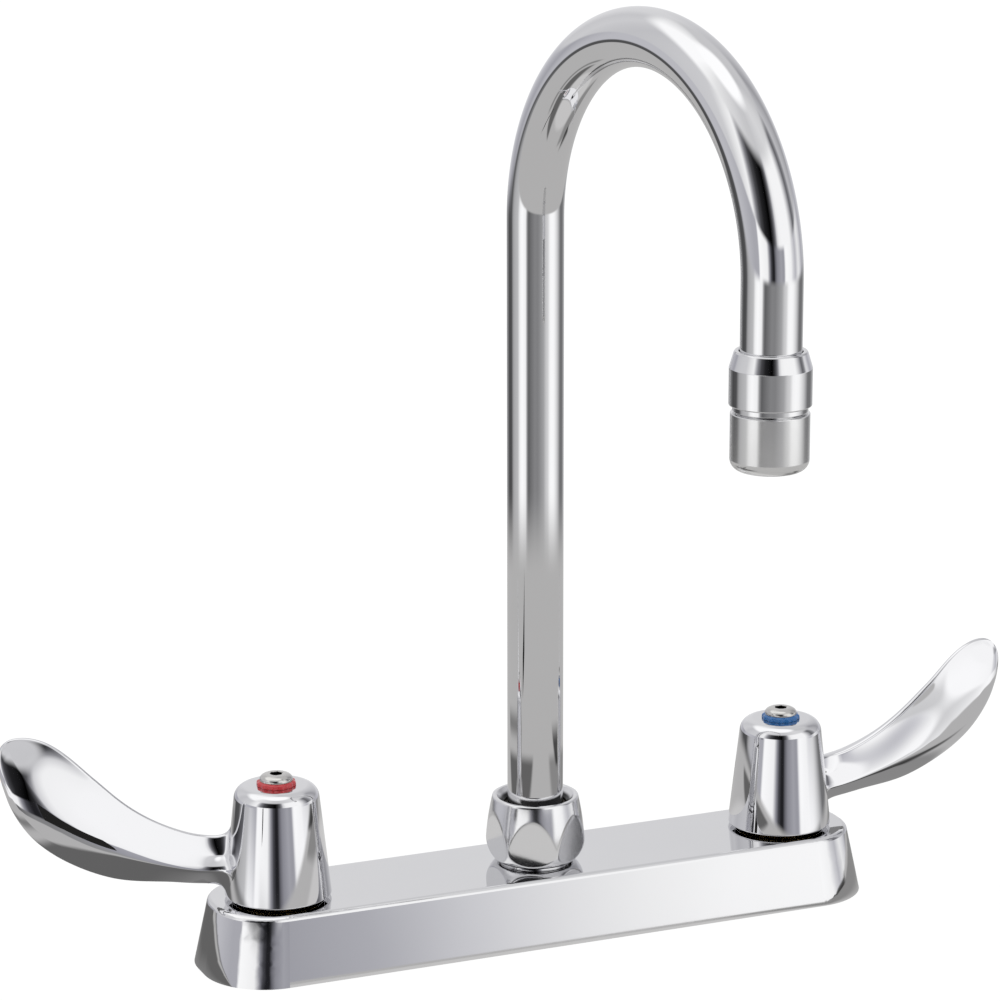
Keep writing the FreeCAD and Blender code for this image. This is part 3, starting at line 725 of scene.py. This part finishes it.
profile = wire.node("GeometryNodeCurvePrimitiveCircle", {}, {
    "Resolution": 80, "Radius": tube["Tube radius"],
})
skin = wire.node("GeometryNodeCurveToMesh", {}, {"Curve": path, "Profile Curve": profile})
close_growth(tube_tree, skin, tube["Finish"])
spout_turn = math.radians(9.0)
spout_reach = 0.1444
tube_radius = 0.0103
tube_wall = 0.0011
tube_foot = 0.035
tube_spring = 0.2669
tube_tip = 0.2344
outlet_axis = (spout_reach * math.sin(spout_turn) * 1000, -spout_reach * math.cos(spout_turn) * 1000)
tube_mesh = grown("gooseneck", tube_tree, {
    "Tube radius": tube_radius, "Reach": spout_reach, "Foot height": tube_foot,
    "Spring height": tube_spring, "Tip height": tube_tip, "Turn": spout_turn, "Finish": tube_chrome,
})
gooseneck = settle("gooseneck_tube", tube_mesh, tube_chrome, 60.0, False)
wall = gooseneck.modifiers.new("tube_wall", "SOLIDIFY")
wall.thickness = tube_wall
wall.offset = -1.0
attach(gooseneck, "spout")
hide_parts("spout_tube")


# Spout nut: a chromed brass nut that holds the spout down. It is turned to a
# barrel and then milled with six leaning flats, whose tops end in arches.
def fade(value, start, end, low=0.0, high=1.0):
    """Smooth change from low to high while a value goes from start to end."""
    return value.node("ShaderNodeMapRange", {"interpolation_type": "SMOOTHSTEP"}, {
        "Value": value, "From Min": start, "From Max": end, "To Min": low, "To Max": high,
    })


def painted_post_shade(wire, place):
    """1 near the post and on the front wall of the nut's recess, where shade is painted near black."""
    flat = wire.node("ShaderNodeVectorMath", {"operation": "MULTIPLY"}, {0: place, 1: (1.0, 1.0, 0.0)})
    reach = wire.node("ShaderNodeVectorMath", {"operation": "LENGTH"}, {0: flat}, "Value")
    wide = fade(reach, 0.0136, 0.0142, 1.0, 0.0) * fade(place.axis("Y"), -0.007, -0.004, 1.0, 0.0)
    return wire.maths("MAXIMUM", wide, fade(reach, 0.0124, 0.0134, 1.0, 0.0))


# Painted shade: near the post and on the front wall of its recess, the nut is painted near black.
nut_chrome = chrome(
    "nut_chrome", (0.80, 0.80, 0.81, 1.0), (0.77, 0.77, 0.78, 1.0),
    smooth=0.13, hazy=0.22, wave_scale=60.0, wave_height=0.00001, painted_shade=painted_post_shade,
)
nut_bottom = 25.8
nut_top = 50.2
nut_bore_radius = 13.5
nut_throat_radius = 11.7
nut_throat_low = 41.0
nut_foot_radius = 15.0
nut_flat_low = 15.6
nut_flat_high = 17.5
nut_turn = math.radians(2.7)
nut_edge_softness = 0.30


def arc_through(start, middle, end, steps):
    """Points on the circle through three (radius, height) places, without the first."""
    (ax, ay), (bx, by), (cx, cy) = start, middle, end
    a_far = ax ** 2 + ay ** 2
    b_far = bx ** 2 + by ** 2
    c_far = cx ** 2 + cy ** 2
    area = 2 * (ax * (by - cy) + bx * (cy - ay) + cx * (ay - by))
    centre_x = (a_far * (by - cy) + b_far * (cy - ay) + c_far * (ay - by)) / area
    centre_y = (a_far * (cx - bx) + b_far * (ax - cx) + c_far * (bx - ax)) / area
    radius = math.hypot(ax - centre_x, ay - centre_y)
    first = math.atan2(ay - centre_y, ax - centre_x)
    last = math.atan2(cy - centre_y, cx - centre_x)
    places = []
    for k in range(1, steps + 1):
        angle = first + (last - first) * k / steps
        places.append((centre_x + radius * math.cos(angle), centre_y + radius * math.sin(angle)))
    return places


def six_flats(radius, height, angle):
    """Smaller of the barrel and the hexagon, with a softly rounded meeting line."""
    if radius < nut_foot_radius or height > nut_top - 0.45:
        return radius
    climb = height - nut_bottom + 0.5
    apothem = nut_flat_low + (nut_flat_high - nut_flat_low) * climb / (nut_top - nut_bottom + 1)
    turn = (angle - nut_turn + math.pi / 6) % (math.pi / 3) - math.pi / 6
    flat = apothem / math.cos(turn)
    meet = max(nut_edge_softness - abs(flat - radius), 0.0) / nut_edge_softness
    return min(flat, radius) - meet * meet * nut_edge_softness / 4


nut_foot = (nut_foot_radius, nut_bottom + 0.15)
nut_waist = (18.4, 33.2)
nut_shoulder = (16.0, nut_top - 0.5)
nut_outline = [(nut_bore_radius, nut_bottom), (14.7, nut_bottom), nut_foot]
nut_outline += arc_through(nut_foot, (17.5, 29.13), nut_waist, 16)
nut_outline += arc_through(nut_waist, (17.5, 41.7), nut_shoulder, 34)
nut_outline += [
    (15.85, nut_top - 0.2), (15.6, nut_top - 0.05), (15.35, nut_top), (14.6, nut_top),
    (14.35, nut_top - 0.08), (14.15, nut_top - 0.3), (11.9, nut_top - 2.7),
    (nut_throat_radius, nut_top - 2.9), (nut_throat_radius, nut_throat_low),
    (nut_bore_radius, nut_throat_low),
]
shape = bmesh.new()
spin(shape, nut_outline, (0.0, 0.0), 360, six_flats)
spout_nut = piece_from(shape, "arched_spout_nut", nut_chrome)
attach(spout_nut, "base")
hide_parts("spout_nut")


# Outlet collar: a turned and chromed sleeve soldered on the end of the tube. A
# lip, a sloping shoulder and a straight band, then a step above the aerator.
collar_chrome = chrome(
    "collar_chrome", (0.79, 0.79, 0.80, 1.0), (0.76, 0.76, 0.77, 1.0),
    smooth=0.015, hazy=0.06, wave_scale=50.0, wave_height=0.00001,
)
collar_top = 244.4
collar_bottom = 226.0
collar_end = 218.0
collar_bore_radius = 8.6
collar_socket_radius = 10.35
collar_socket_low = 234.4
collar_band_radius = 13.8
spigot_radius = 11.35
step_radius = 12.55
step_low = 224.2
shape = bmesh.new()
spin(shape, round_corners([
    (collar_bore_radius, collar_end, 0.0), (spigot_radius, collar_end, 0.3), (spigot_radius, step_low, 0.0),
    (step_radius, step_low, 0.25), (step_radius, collar_bottom + 0.1, 0.1),
    (collar_band_radius, collar_bottom + 0.1, 0.45), (collar_band_radius, collar_top - 5.7, 0.5),
    (12.25, collar_top - 0.5, 0.35), (11.9, collar_top, 0.35), (10.75, collar_top, 0.3),
    (collar_socket_radius, collar_top - 1.1, 0.0), (collar_socket_radius, collar_socket_low, 0.0),
    (collar_bore_radius, collar_socket_low, 0.0),
]), outlet_axis, 160)
collar = piece_from(shape, "shouldered_collar", collar_chrome)
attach(collar, "spout")
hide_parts("outlet_collar")


# Aerator housing: a turned cap with a satin chrome finish and a full round
# lower edge, screwed up on the collar. It holds the screen and its washer.
housing_satin = chrome(
    "housing_satin", (0.83, 0.83, 0.83, 1.0), (0.78, 0.78, 0.78, 1.0),
    smooth=0.13, hazy=0.22, wave_scale=70.0, wave_height=0.00002,
)
housing_top = 223.7
housing_bottom = 204.0
housing_floor = 209.5
housing_radius = 13.25
housing_inside_radius = 11.45
housing_mouth_radius = 8.6
shape = bmesh.new()
spin(shape, round_corners([
    (housing_mouth_radius, housing_bottom, 0.4), (housing_radius, housing_bottom, 4.0),
    (housing_radius, housing_top, 0.35), (housing_inside_radius, housing_top, 0.2),
    (housing_inside_radius, housing_floor, 0.0), (housing_mouth_radius, housing_floor, 0.0),
], 8), outlet_axis, 160)
housing = piece_from(shape, "aerator_cap", housing_satin)
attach(housing, "spout")
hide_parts("aerator_housing")


# Pieces inside the valves, the spout joint and the aerator, and the washers and
# nuts below the deck. Their solids have the right form and stay, with finishes
# of turned brass, zinc-plated steel, rubber, white acetal and fired ceramic.
valve_brass = turned_brass(
    "valve_brass", (0.70, 0.52, 0.24, 1.0), (0.58, 0.41, 0.17, 1.0),
    rough_low=0.18, rough_high=0.34, line_scale=3200.0,
)
# Painted shade: the spout sleeve's brass is near black, standing in for the shade at the throat of the
# post.
painted_shade_brass = turned_brass(
    "painted_shade_brass", (0.06, 0.052, 0.045, 1.0), (0.035, 0.03, 0.026, 1.0),
    rough_low=0.40, rough_high=0.60, line_scale=3200.0,
)
plated_steel = turned_brass(
    "plated_steel", (0.56, 0.56, 0.55, 1.0), (0.44, 0.44, 0.43, 1.0),
    rough_low=0.28, rough_high=0.46, line_scale=1800.0,
)
seal_rubber = soft_rubber(
    "seal_rubber", (0.05, 0.05, 0.05, 1.0), (0.028, 0.028, 0.03, 1.0), grain=1400.0
)
white_acetal = moulded_plastic(
    "white_acetal", (0.80, 0.79, 0.75, 1.0), (0.72, 0.71, 0.67, 1.0), rough_low=0.40, rough_high=0.55
)
disc_ceramic = moulded_plastic(
    "disc_ceramic", (0.78, 0.76, 0.70, 1.0), (0.70, 0.68, 0.62, 1.0), rough_low=0.22, rough_high=0.35
)
for side in ("hot", "cold"):
    for node in ("spindle", "bonnet"):
        dress(side + "_" + node, valve_brass)
    for node in ("deck_washer", "lock_nut", "seat_spring"):
        dress(side + "_" + node, plated_steel)
    for node in ("shank_seal", "seat_cup", "spindle_oring", "bonnet_seal"):
        dress(side + "_" + node, seal_rubber)
    dress(side + "_thrust_washer", white_acetal)
    dress(side + "_valve_disc", disc_ceramic)
# Painted shade: the sleeve is dressed near black.
dress("spout_sleeve", painted_shade_brass)
for node in ("swivel_oring_lower", "swivel_oring_upper", "aerator_washer"):
    dress(node, seal_rubber)
for node in ("bearing_ring", "hold_down_ring", "flow_straightener"):
    dress(node, white_acetal)
dress("aerator_screen", plated_steel)


# Floor: a plain pale sheet at deck height. Polished metal sees only its near part,
# as a grey bench top whose light is a painted glow, with painted shade in darker
# places near the object and a dark strip at its back left edge. Past that it sees the studio.
def stage_paint(name):
    """An empty material for a sheet of the set, and a Wire to build it with."""
    paint = bpy.data.materials.new(name)
    paint.use_nodes = True
    paint.node_tree.nodes.clear()
    return paint, Wire(paint.node_tree)


def show(wire, surface, end_kind="ShaderNodeOutputMaterial"):
    """Ends a paint or the studio with what it shows."""
    end = wire.tree.nodes.new(end_kind)
    wire.tree.links.new(surface.socket, end.inputs["Surface"])


def glow_of(wire, colour, strength):
    return wire.node("ShaderNodeEmission", {}, {"Color": colour, "Strength": strength})


def sheet(name, corners, paint):
    """One flat four-cornered sheet of the set."""
    mesh = bpy.data.meshes.new(name)
    mesh.from_pydata(corners, [], [(0, 1, 2, 3)])
    mesh.materials.append(paint)
    made = bpy.data.objects.new(name, mesh)
    bpy.context.scene.collection.objects.link(made)
    return made


floor_half = 4.0
bench_level = 0.54
white = (1.0, 1.0, 1.0, 1.0)
floor_paint, wire = stage_paint("floor_paint")
ray = wire.node("ShaderNodeLightPath", {}, {}, "Is Camera Ray")
mirrored = wire.node("ShaderNodeLightPath", {}, {}, "Is Glossy Ray")
place = wire.object_place()
distance = wire.node("ShaderNodeVectorMath", {"operation": "LENGTH"}, {0: place}, "Value")
across = place.axis("X")
depth = place.axis("Y")
bench_share = fade(distance, 0.23, 0.27, 1.0, 0.0)
strip_share = (
    fade(across, -0.15, -0.115, 1.0, 0.0) * fade(depth, -0.06, -0.01) * fade(distance, 0.24, 0.29, 1.0, 0.0)
)
# Painted shade: close to the object the bench glow is darker, more on the left than on the right. Painted
# light lifts it near the middle, and it is darker at the right front.
close = fade(distance, 0.205, 0.225, 1.0, 0.0)
left_shade = close * fade(across, -0.13, -0.10, 0.39, 0.0)
right_shade = close * fade(across, 0.10, 0.14, 0.0, 0.24)
middle_lift = fade(distance, 0.12, 0.15, 0.15, 0.0)
front_patch = (
    fade(across, 0.18, 0.20) * fade(depth, -0.05, -0.03, 1.0, 0.0)
    * fade(distance, 0.195, 0.205) * fade(distance, 0.27, 0.29, 1.0, 0.0)
)
bench_glow = (bench_level - left_shade - right_shade + middle_lift) * (1 - front_patch * 0.85)
sheet_glow = glow_of(wire, white, 0.91)
sheet_matt = wire.node("ShaderNodeBsdfDiffuse", {}, {"Color": (0.13, 0.13, 0.13, 1.0)})
seen = wire.node("ShaderNodeAddShader", {}, {0: sheet_glow, 1: sheet_matt})
bench = glow_of(wire, (1.0, 0.99, 0.98, 1.0), bench_glow)
strip = glow_of(wire, white, 0.02)
nothing = wire.node("ShaderNodeBsdfTransparent", {}, {})
reflected = wire.node("ShaderNodeMixShader", {}, {"Fac": strip_share * mirrored, 1: nothing, 2: strip})
reflected = wire.node("ShaderNodeMixShader", {}, {"Fac": bench_share * mirrored, 1: reflected, 2: bench})
show(wire, wire.node("ShaderNodeMixShader", {}, {"Fac": ray, 1: reflected, 2: seen}))
floor = sheet("floor", [
    (-floor_half, -floor_half, 0.0), (floor_half, -floor_half, 0.0),
    (floor_half, floor_half, 0.0), (-floor_half, floor_half, 0.0),
], floor_paint)


# Near card: a black card beside the hot handle's tip, which only polished metal
# sees. It draws the dark streak along the front rim of the blade.
card_paint, wire = stage_paint("card_paint")
show(wire, glow_of(wire, (1.0, 0.98, 0.95, 1.0), 0.02))
card = sheet("black_card", [
    (-0.158, -0.043, 0.042), (-0.216, -0.088, 0.042), (-0.216, -0.088, 0.079), (-0.158, -0.043, 0.060),
], card_paint)
card.visible_camera = False
card.visible_diffuse = False
card.visible_transmission = False
card.visible_shadow = False


# Studio: plain white to the camera. Metal sees two tall light panels left and
# right of the camera, dark cards between and beside them, a bright ceiling, and
# the far part of the grey bench below.
studio = bpy.data.worlds.new("studio")
bpy.context.scene.world = studio
studio.use_nodes = True
studio.node_tree.nodes.clear()
wire = Wire(studio.node_tree)
heading = wire.node("ShaderNodeTexCoord", {}, {}, "Generated")
to_right = wire.node("ShaderNodeVectorMath", {"operation": "DOT_PRODUCT"}, {
    0: heading, 1: (0.9217, -0.3878, 0.0),
}, "Value")
to_camera = wire.node("ShaderNodeVectorMath", {"operation": "DOT_PRODUCT"}, {
    0: heading, 1: (-0.3878, -0.9217, 0.0),
}, "Value")
bearing = wire.maths("ARCTAN2", to_right, to_camera) / (2 * math.pi) + 0.5
climb = wire.maths("ARCSINE", heading.axis("Z")) * (180 / math.pi)


def panels(blueness, stops):
    """Light all round the object, as (degrees right of the camera, brightness)."""
    marks = []
    for degrees, glow in stops:
        cool = blueness * glow * max(0.0, 1 - glow)
        marks.append(((degrees + 180) / 360, (glow - cool, glow - cool, glow + 2 * cool, 1.0)))
    return wire.node("ShaderNodeValToRGB", {"stops": marks}, {"Fac": bearing})


low_panels = panels(0.01, [
    (-180, 0.55), (-150, 0.30), (-130, 0.08), (-112, 0.10), (-100, 0.45), (-92, 0.52), (-76, 0.62),
    (-66, 1.1), (-56, 1.22), (-41, 1.1), (-34, 0.34), (-28, 0.14), (-16, 0.21), (-3, 0.28), (9, 0.27),
    (18, 0.33), (33, 0.45), (43, 0.70), (51, 0.80), (60, 1.15), (70, 1.2), (80, 1.15), (90, 0.95),
    (100, 0.70), (110, 0.40), (118, 0.20), (135, 0.20), (155, 0.50), (180, 0.55),
])
level_panels = panels(0.055, [
    (-180, 0.85), (-150, 0.60), (-128, 0.45), (-115, 0.62), (-100, 0.62), (-66, 0.50), (-52, 0.50),
    (-47, 1.2), (-20, 1.1), (-12, 0.35), (-6, 0.08), (0, 0.02), (5, 0.02), (9, 0.15), (16, 0.32),
    (30, 0.45), (38, 0.40), (41, 0.43), (42, 0.50), (43, 0.63), (44, 0.80), (46, 1.03), (48, 1.17),
    (52, 1.2), (70, 1.12), (80, 0.80), (90, 0.60), (106, 1.0), (118, 0.80), (130, 0.50), (180, 0.85),
])
high_panels = panels(0.03, [
    (-180, 0.80), (-166, 0.80), (-150, 0.70), (-132, 0.75), (-114, 0.66), (-97, 0.72), (-78, 0.75),
    (-66, 0.95), (-54, 1.1), (-46, 0.50), (-41, 0.26), (-32, 0.08), (-20, 0.02), (0, 0.0), (6, 0.03),
    (12, 0.12), (17, 0.35), (21, 0.80), (28, 1.1), (38, 1.15), (70, 1.15), (77, 0.90), (86, 0.50),
    (95, 0.15), (104, 0.30), (112, 0.62), (128, 0.50), (137, 0.40), (152, 0.60), (180, 0.80),
])
top_panels = panels(0.02, [
    (-180, 0.70), (-169, 0.90), (-139, 1.2), (-88, 1.22), (-75, 1.08), (-63, 0.95), (-49, 0.87),
    (-31, 0.80), (-10, 0.72), (10, 0.70), (28, 0.76), (58, 0.84), (84, 0.80), (114, 0.66), (140, 0.70),
    (180, 0.70),
])
zenith = (1.25, 1.25, 1.25, 1.0)
far_bench = (0.54, 0.535, 0.53, 1.0)
around = far_bench
for from_degrees, to_degrees, above in (
    (-15.4, -14.0, low_panels), (-10.2, -7.4, level_panels), (4.5, 8.0, high_panels),
    (38.0, 50.0, top_panels), (66.0, 76.0, zenith),
):
    around = blend_colours(wire, fade(climb, from_degrees, to_degrees), around, above)
mirror_ray = wire.node("ShaderNodeLightPath", {}, {}, "Is Glossy Ray")
camera_ray = wire.node("ShaderNodeLightPath", {}, {}, "Is Camera Ray")
colour = blend_colours(wire, mirror_ray, white, around)
colour = blend_colours(wire, camera_ray, colour, white)
glow = wire.node("ShaderNodeBackground", {}, {"Color": colour, "Strength": 1.0})
show(wire, glow, "ShaderNodeOutputWorld")


# Camera: left of the front and a little above, with a long lens. Its place, lens
# and slight roll were fitted to the outlines in the photograph.
camera_data = bpy.data.cameras.new("camera")
camera_data.lens = 138.43
camera_data.sensor_width = 36.0
camera_data.sensor_fit = "HORIZONTAL"
camera_data.clip_end = 50.0
camera = bpy.data.objects.new("camera", camera_data)
bpy.context.scene.collection.objects.link(camera)
looked_at = Vector((-0.01185, 0.00499, 0.16256))
camera_distance = 1.4
camera_roll = math.radians(0.11)
level_right = Vector((0.92174, -0.38785, 0.0)).normalized()
view_ahead = Vector((0.37594, 0.89342, -0.24598)).normalized()
level_up = level_right.cross(view_ahead)
view_right = level_right * math.cos(camera_roll) - level_up * math.sin(camera_roll)
view_up = level_right * math.sin(camera_roll) + level_up * math.cos(camera_roll)
turned = Matrix((view_right, view_up, -view_ahead)).transposed().to_4x4()
camera.matrix_world = Matrix.Translation(looked_at - view_ahead * camera_distance) @ turned
bpy.context.scene.camera = camera
bpy.context.scene.view_settings.view_transform = "Standard"
